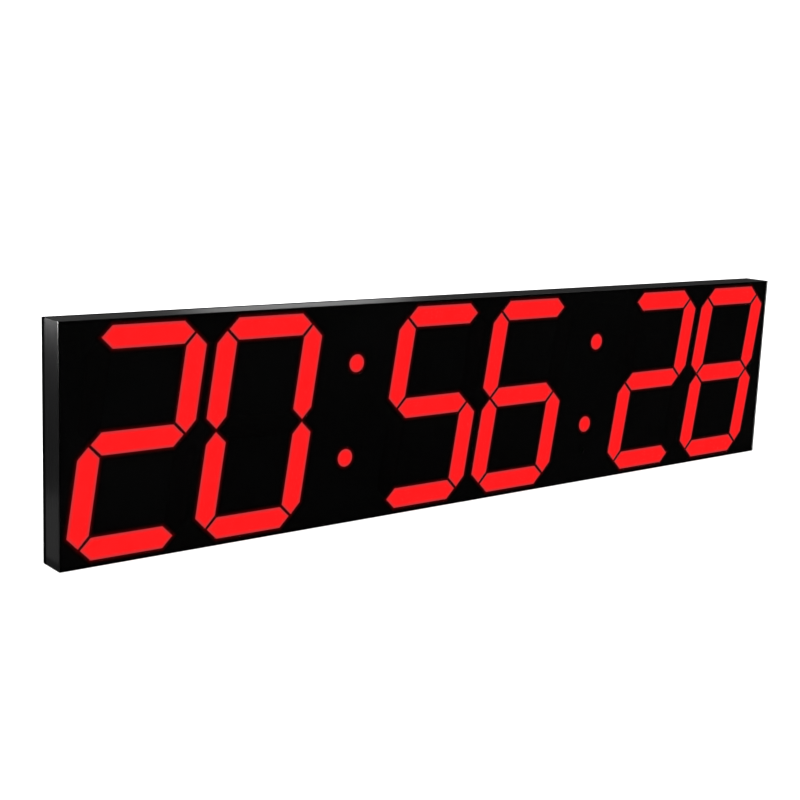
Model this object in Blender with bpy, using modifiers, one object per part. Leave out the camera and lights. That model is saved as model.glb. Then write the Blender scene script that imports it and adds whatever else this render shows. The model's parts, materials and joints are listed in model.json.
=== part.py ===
"""Gym round timer: a wide, thin LED clock with six digits, in an aluminium frame.

Metres. +X is to the right as the clock is read, -Y out of its face, +Z up. The origin is the
centre of the base. The clock is a stack of layers from the smoked front panel to the rear cover:
panel, mask, diffusers, reflectors, LED boards, then wiring space, rail flange and cover. The
columns behind the two colons have the full depth free, so they hold the controls.
"""

import math

import bmesh
import bpy
from mathutils import Matrix, Vector

# Driving dimensions of the case
WIDTH = 0.700
HEIGHT = 0.160
DEPTH = 0.024
GAP = 0.0003
MID_Z = HEIGHT / 2

# Layers, each as (front y, rear y)
PANEL = (-DEPTH / 2, -DEPTH / 2 + 0.0008)
MASK = (PANEL[1] + GAP, PANEL[1] + GAP + 0.001)
DIFFUSER = (MASK[1] + GAP, MASK[1] + GAP + 0.001)
REFLECTOR = (DIFFUSER[1] + GAP, DIFFUSER[1] + GAP + 0.0074)
LED_BOARD = (REFLECTOR[1] + GAP, REFLECTOR[1] + GAP + 0.0016)
CONTROL_BOARD = (0.0052, 0.0068)
COVER = (DEPTH / 2 - 0.0015, DEPTH / 2)
FLANGE = (COVER[0] - GAP - 0.002, COVER[0] - GAP)
BRACKET = (FLANGE[0] - GAP - 0.0017, FLANGE[0] - GAP)
LIP = (BRACKET[0] - GAP - 0.001, BRACKET[0] - GAP)

# Rail section, as depths in from the outer face
WALL = 0.0015
FLANGE_REACH = 0.0075
LIP_REACH = 0.0055
RAIL_CHAMFER = 0.0003
INSIDE = WALL + GAP

# Digits
SLANT = 0.113
EDGE_LEAN = 0.152
DIGIT_PITCH = 0.0933
PAIR_PITCH = 0.2479
ROW = 0.0681
NODE_X = 0.0349
BAR_HALF = 0.0335
BAR_STRAIGHT = 0.0259
BAR_THICK = 0.0151
POST_WIDTH = 0.0154
POST_TIP = 0.008
TIP_GAP = 0.00095
BLOCK_RIM = 0.0008
POST_SPREAD = (EDGE_LEAN - SLANT) * (ROW / 2 - TIP_GAP - POST_TIP)
BLOCK_HALF_W = NODE_X + POST_WIDTH / 2 + POST_SPREAD + BLOCK_RIM
BLOCK_HALF_H = ROW + BAR_THICK / 2 + BLOCK_RIM

# Colons
COLON_X = PAIR_PITCH / 2
DOT_R = 0.0065
DOT_HEIGHTS = (0.0373, -0.0315)
COLON_HALF_W = 0.0125
COLON_RIM = 0.004
COLON_BOARD_HALF_W = 0.0095

# LED boards and their lamps
BOARD_HALF_W = 0.0988
BOARD_HALF_H = 0.0765
LAMP = 0.002
LAMP_RISE = 0.0008
LAMP_SPOTS = (0.22, 0.5, 0.78)
HEADER_HALF_W = 0.008
HEADER_RISE = 0.0035
HEADER_Z = (0.060, 0.066)

# How far joined bodies reach into each other, and cutters past a face
OVERLAP = 0.0002
CLEAR = 0.001

# Control column, at the right colon
CONTROL_X = (0.101, 0.147)
CONTROL_Z = (0.0115, 0.154)
CONTROL_Y = -0.001
JACK_X = 0.1065
ROCKER_X = 0.1245
SOUND_X = 0.1405
SOUND_HOLE_R = 0.0009
SOUND_PITCH_X = 0.0035
SOUND_PITCH_Y = 0.005
BUZZER_Z = 0.029
IR_X = 0.119
IR_Z = 0.026
IR_BOARD_BOTTOM = 0.0175
IR_WINDOW_R = 0.003

RIBBON_THICK = 0.0009

# Buttons, at the left colon
BUTTON_PITCH = 0.011
BUTTON_R = 0.003
BUTTON_TRAVEL = 0.0008
GUIDE_REACH = 0.0065
BUTTON_XS = [-0.124 + BUTTON_PITCH * place for place in (-1.5, -0.5, 0.5, 1.5)]
RECESS = 0.0002

# Rocker switch
ROCKER_TILT = math.radians(8)
ROCKER_HALF_L = 0.0076
ROCKER_HALF_W = 0.0045
PADDLE_HALF_L = 0.00575
PADDLE_HALF_W = 0.0032
PADDLE_Z = 0.002
PIVOT_Z = 0.0055
PIVOT_R = 0.0009

# DC jack
JACK_HALF_W = 0.0045
JACK_HALF_D = 0.0055
JACK_TOP = 0.0158
JACK_NOSE_R = 0.0037
JACK_BORE_R = 0.00315
JACK_PIN_R = 0.001

# Fasteners and hanging holes
SCREW_EDGE = 0.0045
SCREW_R = 0.0014
SCREW_HEAD_R = 0.0028
SCREW_HEAD_DEPTH = 0.0012
SCREW_TIP_Y = 0.0062
SCREW_XS = (-0.332, -0.110, 0.110, 0.332)
KEYHOLE_X = 0.200
KEYHOLE_Z = 0.118
KEYHOLE_R = 0.0045
KEYHOLE_SLOT = 0.0023
KEYHOLE_RISE = 0.009

# Cooling slots in the cover
VENT_X = 0.290
VENT_PITCH = 0.006
VENT_RISE = 0.013

ROUND = 24
FILL_SCALE = 1000  # outlines are filled in millimetres, where close points stay apart


def new_collection(name):
    """Adds a collection to the scene."""
    group = bpy.data.collections.new(name)
    bpy.context.scene.collection.children.link(group)
    return group


def new_material(name, colour, roughness, metallic=0.0, transmission=0.0):
    """A Principled material in one colour."""
    material = bpy.data.materials.new(name)
    material.use_nodes = True
    shader = material.node_tree.nodes["Principled BSDF"]
    shader.inputs["Base Color"].default_value = (*colour, 1.0)
    shader.inputs["Roughness"].default_value = roughness
    shader.inputs["Metallic"].default_value = metallic
    shader.inputs["Transmission Weight"].default_value = transmission
    return material


for old in list(bpy.data.objects):
    bpy.data.objects.remove(old, do_unlink=True)

PARTS = new_collection("gym_round_timer")
CUTTERS = new_collection("cutters")

SMOKED = new_material("smoked_acrylic", (0.01, 0.01, 0.012), 0.08, transmission=0.3)
MASK_BLACK = new_material("mask_black", (0.004, 0.004, 0.004), 0.7)
RED_LIGHT = new_material("red_light", (1.0, 0.015, 0.015), 0.5)
WHITE_PLASTIC = new_material("reflector_white", (0.8, 0.8, 0.78), 0.6)
BLACK_ALUMINIUM = new_material("black_anodised", (0.012, 0.012, 0.013), 0.35, 0.9)
COVER_BLACK = new_material("cover_black", (0.015, 0.015, 0.016), 0.55, 0.6)
ZINC = new_material("zinc_steel", (0.45, 0.45, 0.47), 0.35, 1.0)
BOARD_GREEN = new_material("board_green", (0.01, 0.09, 0.03), 0.45)
BLACK_PLASTIC = new_material("black_plastic", (0.01, 0.01, 0.01), 0.5)
CABLE_GREY = new_material("cable_grey", (0.35, 0.35, 0.36), 0.6)


def finish_object(name, mesh, material, group=None):
    """Puts a mesh in the scene as a named part."""
    mesh.name = name
    mesh.materials.clear()
    mesh.materials.append(material)
    part = bpy.data.objects.new(name, mesh)
    (group or PARTS).objects.link(part)
    return part


def smooth(mesh, angle=40):
    """Shades a round piece smooth, with its corners kept sharp."""
    mesh.shade_smooth()
    mesh.set_sharp_from_angle(angle=math.radians(angle))


def box_mesh(low, high):
    """A box between two corners."""
    bm = bmesh.new()
    bmesh.ops.create_cube(bm, size=1.0)
    size = Vector(high) - Vector(low)
    centre = (Vector(high) + Vector(low)) / 2
    place = Matrix.Translation(centre) @ Matrix.Diagonal((*size, 1.0))
    bmesh.ops.transform(bm, matrix=place, verts=bm.verts)
    mesh = bpy.data.meshes.new("box")
    bm.to_mesh(mesh)
    bm.free()
    return mesh


def rod_mesh(radius, start, end, segments=ROUND):
    """A round rod from one point to another along Y or Z."""
    bm = bmesh.new()
    line = Vector(end) - Vector(start)
    turn = Vector((0, 0, 1)).rotation_difference(line).to_matrix().to_4x4()
    place = Matrix.Translation((Vector(start) + Vector(end)) / 2) @ turn
    bmesh.ops.create_cone(
        bm, cap_ends=True, segments=segments, radius1=radius, radius2=radius, depth=line.length, matrix=place
    )
    mesh = bpy.data.meshes.new("rod")
    bm.to_mesh(mesh)
    bm.free()
    return mesh


def outline_mesh(loops, thickness):
    """A flat sheet in the XY plane, centred on it. Loops inside the first one are its holes."""
    curve = bpy.data.curves.new("outline", "CURVE")
    curve.dimensions = "2D"
    curve.fill_mode = "BOTH"
    curve.extrude = thickness / 2 * FILL_SCALE
    for loop in loops:
        spline = curve.splines.new("POLY")
        spline.points.add(len(loop) - 1)
        for point, (x, y) in zip(spline.points, loop):
            point.co = (x * FILL_SCALE, y * FILL_SCALE, 0.0, 1.0)
        spline.use_cyclic_u = True
    sheet = bpy.data.objects.new("outline", curve)
    CUTTERS.objects.link(sheet)
    bpy.context.view_layer.update()
    mesh = bpy.data.meshes.new_from_object(sheet.evaluated_get(bpy.context.evaluated_depsgraph_get()))
    bpy.data.objects.remove(sheet)
    bpy.data.curves.remove(curve)
    bm = bmesh.new()
    bm.from_mesh(mesh)
    bmesh.ops.scale(bm, vec=(1 / FILL_SCALE,) * 3, verts=bm.verts)
    bmesh.ops.remove_doubles(bm, verts=bm.verts, dist=0.00001)
    bmesh.ops.recalc_face_normals(bm, faces=bm.faces)
    bm.to_mesh(mesh)
    bm.free()
    return mesh


def upright_mesh(loops, layer):
    """A sheet parallel to the clock's face, filling one layer. Its loops are (x, z) points."""
    mesh = outline_mesh(loops, layer[1] - layer[0])
    stand = Matrix.Rotation(math.radians(90), 4, "X")
    mesh.transform(Matrix.Translation((0, (layer[0] + layer[1]) / 2, 0)) @ stand)
    return mesh


def upright_sheet(name, loops, layer, material):
    """A named sheet parallel to the clock's face."""
    return finish_object(name, upright_mesh(loops, layer), material)


def flat_mesh(loops, bottom, top):
    """A sheet parallel to the base, between two heights. Its loops are (x, y) points."""
    mesh = outline_mesh(loops, top - bottom)
    mesh.transform(Matrix.Translation((0, 0, (bottom + top) / 2)))
    return mesh


def joined(meshes):
    """Several closed bodies in one mesh, for use as a cutter or an addition."""
    bm = bmesh.new()
    for mesh in meshes:
        bm.from_mesh(mesh)
        bpy.data.meshes.remove(mesh)
    mesh = bpy.data.meshes.new("joined")
    bm.to_mesh(mesh)
    bm.free()
    return mesh


def change(part, meshes, operation, label):
    """Adds bodies to a part, or cuts them from it."""
    tool = finish_object(f"{part.name}_{label}", joined(meshes), part.data.materials[0], CUTTERS)
    tool.hide_render = True
    tool.display_type = "WIRE"
    boolean = part.modifiers.new(label, "BOOLEAN")
    boolean.operation = operation
    boolean.solver = "EXACT"
    boolean.object = tool


def add(part, meshes, label="additions"):
    change(part, meshes, "UNION", label)


def cut(part, meshes, label="cuts"):
    change(part, meshes, "DIFFERENCE", label)


def turned(name, profile, material, place, steps=ROUND):
    """A turned piece about its own Z. The profile runs down its outer side, top to bottom."""
    bm = bmesh.new()
    points = [bm.verts.new((radius, 0.0, height)) for radius, height in profile]
    for first, second in zip(points, points[1:]):
        bm.edges.new((first, second))
    mesh = bpy.data.meshes.new(name)
    bm.to_mesh(mesh)
    bm.free()
    part = finish_object(name, mesh, material)
    part.matrix_world = place
    screw = part.modifiers.new("turn", "SCREW")
    screw.steps = steps
    screw.render_steps = steps
    screw.use_merge_vertices = True
    screw.merge_threshold = 0.00001
    screw.use_smooth_shade = True
    return part


def rectangle(x_range, z_range):
    x0, x1 = x_range
    z0, z1 = z_range
    return [(x0, z0), (x1, z0), (x1, z1), (x0, z1)]


def circle(x, z, radius, count=ROUND):
    turns = [2 * math.pi * step / count for step in range(count)]
    return [(x + radius * math.cos(turn), z + radius * math.sin(turn)) for turn in turns]


def arc(x, z, radius, start, end, count):
    """Points of an arc between two angles in degrees."""
    turns = [math.radians(start + (end - start) * step / (count - 1)) for step in range(count)]
    return [(x + radius * math.cos(turn), z + radius * math.sin(turn)) for turn in turns]


def grown(points, margin):
    """A convex outline moved out by a margin on every side."""
    count = len(points)
    area = sum(points[k - 1][0] * points[k][1] - points[k][0] * points[k - 1][1] for k in range(count))
    side = math.copysign(margin, area)
    result = []
    for k in range(count):
        here = Vector(points[k])
        before = (here - Vector(points[k - 1])).normalized()
        after = (Vector(points[(k + 1) % count]) - here).normalized()
        normal_before = Vector((before.y, -before.x))
        normal_after = Vector((after.y, -after.x))
        mitre = (normal_before + normal_after).normalized()
        result.append(tuple(here + mitre * side / mitre.dot(normal_after)))
    return result


def bar(row):
    """Outline of a level segment at a row's height, about the digit's centre."""
    x = SLANT * row
    half = BAR_THICK / 2
    return [
        (x - BAR_HALF, row),
        (x - BAR_STRAIGHT, row - half),
        (x + BAR_STRAIGHT, row - half),
        (x + BAR_HALF, row),
        (x + BAR_STRAIGHT, row + half),
        (x - BAR_STRAIGHT, row + half),
    ]


def post(side, low, high):
    """Outline of an upright segment between two rows, on the left (-1) or right (1)."""
    bottom = low + TIP_GAP
    top = high - TIP_GAP
    middle = (bottom + top) / 2
    x = side * NODE_X + SLANT * middle
    half = POST_WIDTH / 2
    shoulder = (top - bottom) / 2 - POST_TIP
    lean = EDGE_LEAN * shoulder
    return [
        (side * NODE_X + SLANT * bottom, bottom),
        (x + half - lean, middle - shoulder),
        (x + half + lean, middle + shoulder),
        (side * NODE_X + SLANT * top, top),
        (x - half + lean, middle + shoulder),
        (x - half - lean, middle - shoulder),
    ]


def digit_segments(centre_x, margin=0.0):
    """The seven segment outlines of one digit, in the order a to g."""
    segments = [
        bar(ROW),
        post(1, 0, ROW),
        post(1, -ROW, 0),
        bar(-ROW),
        post(-1, -ROW, 0),
        post(-1, 0, ROW),
        bar(0),
    ]
    return [[(centre_x + x, MID_Z + z) for x, z in grown(outline, margin)] for outline in segments]


def digit_block(centre_x):
    """Outline of a digit's diffuser and reflector, slanted like the digit."""
    lean = SLANT * BLOCK_HALF_H
    corners = [(-1, -1), (1, -1), (1, 1), (-1, 1)]
    return [(centre_x + i * BLOCK_HALF_W + j * lean, MID_Z + j * BLOCK_HALF_H) for i, j in corners]


def digit_centres():
    """Names and centres of the six digits, from left to right."""
    centres = []
    for pair in (-1, 0, 1):
        for half in (-0.5, 0.5):
            centres.append(pair * PAIR_PITCH + half * DIGIT_PITCH)
    return list(enumerate(centres, start=1))


def colon_dots(side, margin=0.0):
    """The two round outlines of a colon."""
    return [circle(side * COLON_X + SLANT * z, MID_Z + z, DOT_R + margin) for z in DOT_HEIGHTS]


def colon_block(side):
    reach = DOT_R + COLON_RIM
    x = side * COLON_X
    heights = (MID_Z + DOT_HEIGHTS[1] - reach, MID_Z + DOT_HEIGHTS[0] + reach)
    return rectangle((x - COLON_HALF_W, x + COLON_HALF_W), heights)


SIDES = {"left": -1, "right": 1}


def make_front_panel():
    """Smoked acrylic sheet over the whole front."""
    mesh = box_mesh((-WIDTH / 2, PANEL[0], 0), (WIDTH / 2, PANEL[1], HEIGHT))
    panel = finish_object("front_panel", mesh, SMOKED)
    bevel = panel.modifiers.new("polished_edge", "BEVEL")
    bevel.width = 0.0002
    bevel.segments = 1


def make_segment_mask():
    """Black sheet with a window for each segment and dot, and one for the remote receiver."""
    outer = rectangle((-WIDTH / 2 + INSIDE, WIDTH / 2 - INSIDE), (INSIDE, HEIGHT - INSIDE))
    windows = [outline for _, x in digit_centres() for outline in digit_segments(x, GAP)]
    windows += [dot for side in SIDES.values() for dot in colon_dots(side, GAP)]
    windows.append(circle(IR_X, IR_Z, IR_WINDOW_R, 12))
    upright_sheet("segment_mask", [outer] + windows, MASK, MASK_BLACK)


def make_digits():
    """A diffuser with seven raised lands and a reflector with seven wells for each digit."""
    land = (MASK[0], DIFFUSER[0] + OVERLAP)
    for number, x in digit_centres():
        diffuser = upright_sheet(f"digit_diffuser_{number}", [digit_block(x)], DIFFUSER, RED_LIGHT)
        add(diffuser, [upright_mesh([outline], land) for outline in digit_segments(x)])
        loops = [digit_block(x)] + digit_segments(x, GAP)
        upright_sheet(f"digit_reflector_{number}", loops, REFLECTOR, WHITE_PLASTIC)


def make_colons():
    """A diffuser with two raised dots and a reflector with two wells for each colon."""
    land = (MASK[0], DIFFUSER[0] + OVERLAP)
    for name, side in SIDES.items():
        diffuser = upright_sheet(f"colon_diffuser_{name}", [colon_block(side)], DIFFUSER, RED_LIGHT)
        add(diffuser, [upright_mesh([dot], land) for dot in colon_dots(side)])
        loops = [colon_block(side)] + colon_dots(side, GAP)
        upright_sheet(f"colon_reflector_{name}", loops, REFLECTOR, WHITE_PLASTIC)


def lamp_mesh(x, z):
    """One surface-mounted LED on the front of a board."""
    half = LAMP / 2
    low = (x - half, LED_BOARD[0] - LAMP_RISE, z - half)
    return box_mesh(low, (x + half, LED_BOARD[0] + OVERLAP, z + half))


def segment_lamps(outline):
    """Three LEDs along a segment, between its two tips."""
    first, last = Vector(outline[0]), Vector(outline[3])
    spots = [first.lerp(last, share) for share in LAMP_SPOTS]
    return [lamp_mesh(spot.x, spot.y) for spot in spots]


def make_led_boards():
    """A circuit board behind each pair of digits, with its LEDs and a cable header."""
    centres = [x for _, x in digit_centres()]
    for name, pair in (("left", 0), ("middle", 1), ("right", 2)):
        members = centres[2 * pair : 2 * pair + 2]
        x = sum(members) / 2
        heights = (MID_Z - BOARD_HALF_H, MID_Z + BOARD_HALF_H)
        outline = rectangle((x - BOARD_HALF_W, x + BOARD_HALF_W), heights)
        board = upright_sheet(f"led_board_{name}", [outline], LED_BOARD, BOARD_GREEN)
        additions = []
        for member in members:
            for segment in digit_segments(member):
                additions += segment_lamps(segment)
        low = (x - HEADER_HALF_W, LED_BOARD[1] - OVERLAP, HEADER_Z[0])
        additions.append(box_mesh(low, (x + HEADER_HALF_W, LED_BOARD[1] + HEADER_RISE, HEADER_Z[1])))
        add(board, additions)


def make_colon_boards():
    """A narrow board behind each colon. The right one also carries the remote receiver."""
    for name, side in SIDES.items():
        x = side * COLON_X
        bottom = IR_BOARD_BOTTOM if side > 0 else MID_Z + DOT_HEIGHTS[1] - DOT_R
        heights = (bottom, MID_Z + DOT_HEIGHTS[0] + DOT_R)
        outline = rectangle((x - COLON_BOARD_HALF_W, x + COLON_BOARD_HALF_W), heights)
        board = upright_sheet(f"colon_board_{name}", [outline], LED_BOARD, BOARD_GREEN)
        add(board, [lamp_mesh(x + SLANT * z, MID_Z + z) for z in DOT_HEIGHTS])


def rail_section():
    """The rail's section as (y, depth in from its outer face)."""
    front = PANEL[1] + GAP
    rear = COVER[1]
    return [
        (front, 0.0),
        (rear - RAIL_CHAMFER, 0.0),
        (rear, RAIL_CHAMFER),
        (rear, WALL),
        (FLANGE[1], WALL),
        (FLANGE[1], FLANGE_REACH),
        (FLANGE[0], FLANGE_REACH),
        (FLANGE[0], WALL),
        (LIP[1], WALL),
        (LIP[1], LIP_REACH),
        (LIP[0], LIP_REACH),
        (LIP[0], WALL),
        (front, WALL),
    ]


def make_rail(name, length, turn):
    """A mitred length of rail, turned about Y into its place in the frame."""
    mesh = outline_mesh([rail_section()], length)
    for vertex in mesh.vertices:
        y, depth, along = vertex.co
        along -= math.copysign(depth + GAP / 2, along)
        vertex.co = (along, y, depth)
    rail = finish_object(name, mesh, BLACK_ALUMINIUM)
    reach = WIDTH / 2 if length == HEIGHT else HEIGHT / 2
    out = Matrix.Rotation(turn, 4, "Y")
    rail.matrix_world = Matrix.Translation((0, 0, MID_Z)) @ out @ Matrix.Translation((0, 0, -reach))
    return rail


def down_hole(x, y, radius, segments=ROUND):
    """A cutter through the bottom rail's wall."""
    return rod_mesh(radius, (x, y, -CLEAR), (x, y, WALL + CLEAR), segments)


def screw_hole(x, z, layer, segments=12):
    """A cutter for a cover screw's hole through one layer."""
    return rod_mesh(SCREW_R + GAP, (x, layer[0] - OVERLAP, z), (x, layer[1] + OVERLAP, z), segments)


def make_frame():
    """Four mitred rails. The bottom one is cut for the jack, the switch, the buzzer and the buttons."""
    bottom = make_rail("bottom_rail", WIDTH, 0.0)
    top = make_rail("top_rail", WIDTH, math.pi)
    make_rail("left_rail", HEIGHT, math.pi / 2)
    make_rail("right_rail", HEIGHT, -math.pi / 2)
    for rail, z in ((bottom, SCREW_EDGE), (top, HEIGHT - SCREW_EDGE)):
        cuts = [screw_hole(x, z, FLANGE) for x in SCREW_XS]
        if rail is bottom:
            cuts += [down_hole(x, CONTROL_Y, BUTTON_R + GAP) for x in BUTTON_XS]
            cuts.append(down_hole(JACK_X, CONTROL_Y, JACK_NOSE_R + GAP))
            for i in (-1, 0, 1):
                for j in (-0.5, 0.5):
                    spot = (SOUND_X + i * SOUND_PITCH_X, CONTROL_Y + j * SOUND_PITCH_Y)
                    cuts.append(down_hole(*spot, SOUND_HOLE_R, 10))
            reach_x = ROCKER_HALF_L + GAP
            reach_y = ROCKER_HALF_W + GAP
            low = (ROCKER_X - reach_x, CONTROL_Y - reach_y, -CLEAR)
            cuts.append(box_mesh(low, (ROCKER_X + reach_x, CONTROL_Y + reach_y, WALL + CLEAR)))
        cut(rail, cuts)


def make_brackets():
    """A flat steel corner key in the slot of the rails at each corner."""
    leg = 0.028
    reach = FLANGE_REACH - OVERLAP
    shape = [(INSIDE, INSIDE), (leg, INSIDE), (leg, reach), (reach, reach), (reach, leg), (INSIDE, leg)]
    for level, j in (("bottom", -1), ("top", 1)):
        for end, i in SIDES.items():
            outline = [(i * (WIDTH / 2 - u), MID_Z + j * (MID_Z - v)) for u, v in shape]
            hole = circle(i * SCREW_XS[-1], MID_Z + j * (MID_Z - SCREW_EDGE), SCREW_R + GAP, 12)
            upright_sheet(f"corner_bracket_{level}_{end}", [outline, hole], BRACKET, ZINC)


def keyhole(x):
    """A round entry for a wall screw's head, with a slot above it for the shank."""
    edge = math.degrees(math.asin(KEYHOLE_SLOT / KEYHOLE_R))
    entry = arc(x, KEYHOLE_Z, KEYHOLE_R, 90 + edge, 450 - edge, 17)
    return entry + arc(x, KEYHOLE_Z + KEYHOLE_RISE, KEYHOLE_SLOT, 0, 180, 7)


def vent(side, place):
    """An upright cooling slot with round ends, shorter the further it is from its group's middle."""
    half_width = 0.0011
    x = side * VENT_X + VENT_PITCH * place
    rise = VENT_RISE - 0.0005 * place**2
    top = arc(x, MID_Z + rise, half_width, 0, 180, 5)
    return top + arc(x, MID_Z - rise, half_width, 180, 360, 5)


def countersink(x, z):
    """The cone that takes a cover screw's head."""
    small = SCREW_R + GAP / 2
    deep = 0.0019
    wide = small + deep * (SCREW_HEAD_R - SCREW_R) / SCREW_HEAD_DEPTH
    start = COVER[0] + OVERLAP / 2
    place = Matrix.Translation((x, start + deep / 2, z)) @ Matrix.Rotation(math.radians(90), 4, "X")
    bm = bmesh.new()
    bmesh.ops.create_cone(
        bm, cap_ends=True, segments=16, radius1=wide, radius2=small, depth=deep, matrix=place
    )
    mesh = bpy.data.meshes.new("countersink")
    bm.to_mesh(mesh)
    bm.free()
    return mesh


def make_rear_cover():
    """Sheet-metal back with two keyholes, cooling slots and eight countersunk screw holes."""
    outer = rectangle((-WIDTH / 2 + INSIDE, WIDTH / 2 - INSIDE), (INSIDE, HEIGHT - INSIDE))
    holes = [keyhole(-KEYHOLE_X), keyhole(KEYHOLE_X)]
    holes += [vent(side, step - 2.5) for side in (-1, 1) for step in range(6)]
    cover = upright_sheet("rear_cover", [outer] + holes, COVER, COVER_BLACK)
    cut(cover, [screw_hole(x, z, COVER, 16) for x, z in screw_spots()], "holes")
    cut(cover, [countersink(x, z) for x, z in screw_spots()], "countersinks")


def screw_spots():
    return [(x, z) for z in (SCREW_EDGE, HEIGHT - SCREW_EDGE) for x in SCREW_XS]


def make_screws():
    """Eight countersunk screws with their heads level with the cover."""
    length = DEPTH / 2 - SCREW_TIP_Y
    lip = 0.0001
    head = lip + SCREW_HEAD_DEPTH
    recess = 0.0006
    chamfer = 0.0004
    profile = [
        (0.0, -recess),
        (0.0009, -recess),
        (0.0011, -lip),
        (SCREW_HEAD_R, -lip),
        (SCREW_R, -head),
        (SCREW_R, -length + chamfer),
        (SCREW_R - chamfer, -length),
        (0.0, -length),
    ]
    for number, (x, z) in enumerate(screw_spots(), start=1):
        place = Matrix.Translation((x, DEPTH / 2, z)) @ Matrix.Rotation(math.radians(-90), 4, "X")
        turned(f"cover_screw_{number}", profile, ZINC, place, 12)


def make_buttons():
    """Four push buttons, a guide that keeps their stems upright, and the board with their switches."""
    collar_r = 0.004
    stem_r = 0.0017
    collar = (INSIDE, INSIDE + 0.001)
    stem_top = 0.005
    chamfer = 0.0004
    profile = [
        (0.0, stem_top),
        (stem_r, stem_top),
        (stem_r, collar[1]),
        (collar_r, collar[1]),
        (collar_r, collar[0]),
        (BUTTON_R, collar[0]),
        (BUTTON_R, RECESS + chamfer),
        (BUTTON_R - chamfer, RECESS),
        (0.0, RECESS),
    ]
    for number, x in enumerate(BUTTON_XS, start=1):
        turned(f"button_{number}", profile, BLACK_PLASTIC, Matrix.Translation((x, CONTROL_Y, 0)), 16)

    span = (BUTTON_XS[0] - GUIDE_REACH, BUTTON_XS[-1] + GUIDE_REACH)
    depth = (-0.0070, LIP[0] - GAP)
    guide_z = (0.0039, 0.0049)
    holes = [circle(x, CONTROL_Y, stem_r + GAP) for x in BUTTON_XS]
    plate = flat_mesh([rectangle(span, depth)] + holes, *guide_z)
    guide = finish_object("button_guide", plate, BLACK_PLASTIC)
    foot = 0.0016
    inset = 0.0002
    feet = []
    for low_x in (span[0] + inset, span[1] - inset - foot):
        low = (low_x, depth[0] + inset, INSIDE)
        feet.append(box_mesh(low, (low_x + foot, depth[1] - inset, guide_z[0] + OVERLAP)))
    add(guide, feet, "feet")

    board_z = (0.0095, 0.0111)
    plate = flat_mesh([rectangle(span, (depth[0] - CLEAR, depth[1]))], *board_z)
    board = finish_object("key_board", plate, BOARD_GREEN)
    switch_half = 0.003
    switch_bottom = stem_top + BUTTON_TRAVEL + 0.0004
    additions = []
    for x in BUTTON_XS:
        low = (x - switch_half, CONTROL_Y - switch_half, switch_bottom)
        additions.append(box_mesh(low, (x + switch_half, CONTROL_Y + switch_half, board_z[0] + OVERLAP)))
    header_length = 0.010
    header_top = 0.0205
    low = (span[1] - header_length, -0.0015, board_z[1] - OVERLAP)
    additions.append(box_mesh(low, (span[1] - inset, depth[1] - inset, header_top)))
    add(board, additions, "switches")


def make_power_jack():
    """Barrel jack for the power adapter, facing down through the bottom rail."""
    bore_top = 0.0108
    pin_bottom = 0.0038
    x, y = JACK_X, CONTROL_Y
    low = (x - JACK_HALF_W, y - JACK_HALF_D, INSIDE)
    mesh = box_mesh(low, (x + JACK_HALF_W, y + JACK_HALF_D, JACK_TOP))
    jack = finish_object("dc_jack", mesh, BLACK_PLASTIC)
    add(jack, [rod_mesh(JACK_NOSE_R, (x, y, RECESS), (x, y, INSIDE + CLEAR))], "nose")
    cut(jack, [rod_mesh(JACK_BORE_R, (x, y, -CLEAR), (x, y, bore_top))], "bore")
    add(jack, [rod_mesh(JACK_PIN_R, (x, y, pin_bottom), (x, y, bore_top + OVERLAP), 16)], "pin")


def make_rocker_housing():
    """The power switch's tub, set in the bottom rail, with two terminals."""
    x, y = ROCKER_X, CONTROL_Y
    half_l, half_w = ROCKER_HALF_L, ROCKER_HALF_W
    tub_top = 0.0095
    wall = 0.001
    mesh = box_mesh((x - half_l, y - half_w, RECESS), (x + half_l, y + half_w, tub_top))
    housing = finish_object("rocker_housing", mesh, BLACK_PLASTIC)

    step = 0.001
    low = (x - half_l - step, y - half_w - step, INSIDE)
    shoulder = box_mesh(low, (x + half_l + step, y + half_w + step, INSIDE + 0.0012))
    add(housing, [shoulder], "shoulder")

    tab_half = (0.0004, 0.002)
    tab_top = 0.013
    tabs = []
    for tab_x in (x - 0.004, x + 0.004):
        low = (tab_x - tab_half[0], y - tab_half[1], tub_top - OVERLAP)
        tabs.append(box_mesh(low, (tab_x + tab_half[0], y + tab_half[1], tab_top)))
    add(housing, tabs, "tabs")

    low = (x - half_l + wall, y - half_w + wall, RECESS - CLEAR)
    cavity = box_mesh(low, (x + half_l - wall, y + half_w - wall, tub_top - wall))
    cut(housing, [cavity], "cavity")
    reach = half_w + CLEAR
    pin_hole = rod_mesh(PIVOT_R + GAP, (x, y - reach, PIVOT_Z), (x, y + reach, PIVOT_Z), 16)
    cut(housing, [pin_hole], "pin_holes")


def make_rocker_paddle():
    """The power switch's paddle, which rocks on its two pins. It rests with one end pressed in."""
    dip = PADDLE_HALF_L * math.tan(ROCKER_TILT)
    low_z = PADDLE_Z - dip - PIVOT_Z
    skirt = low_z + 0.0022
    crown = (0.0022, 0.0016)
    shape = [
        (-PADDLE_HALF_L, low_z),
        (0.0, PADDLE_Z - PIVOT_Z),
        (PADDLE_HALF_L, low_z),
        (PADDLE_HALF_L, skirt),
        (crown[0], crown[1]),
        (-crown[0], crown[1]),
        (-PADDLE_HALF_L, skirt),
    ]
    paddle = upright_sheet("rocker_paddle", [shape], (-PADDLE_HALF_W, PADDLE_HALF_W), BLACK_PLASTIC)
    place = Matrix.Translation((ROCKER_X, CONTROL_Y, PIVOT_Z)) @ Matrix.Rotation(ROCKER_TILT, 4, "Y")
    reach = PADDLE_HALF_W + CLEAR
    add(paddle, [rod_mesh(PIVOT_R, (0, -reach, 0), (0, reach, 0), 16)], "pins")
    paddle.matrix_world = place
    CUTTERS.objects["rocker_paddle_pins"].matrix_world = place


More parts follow.
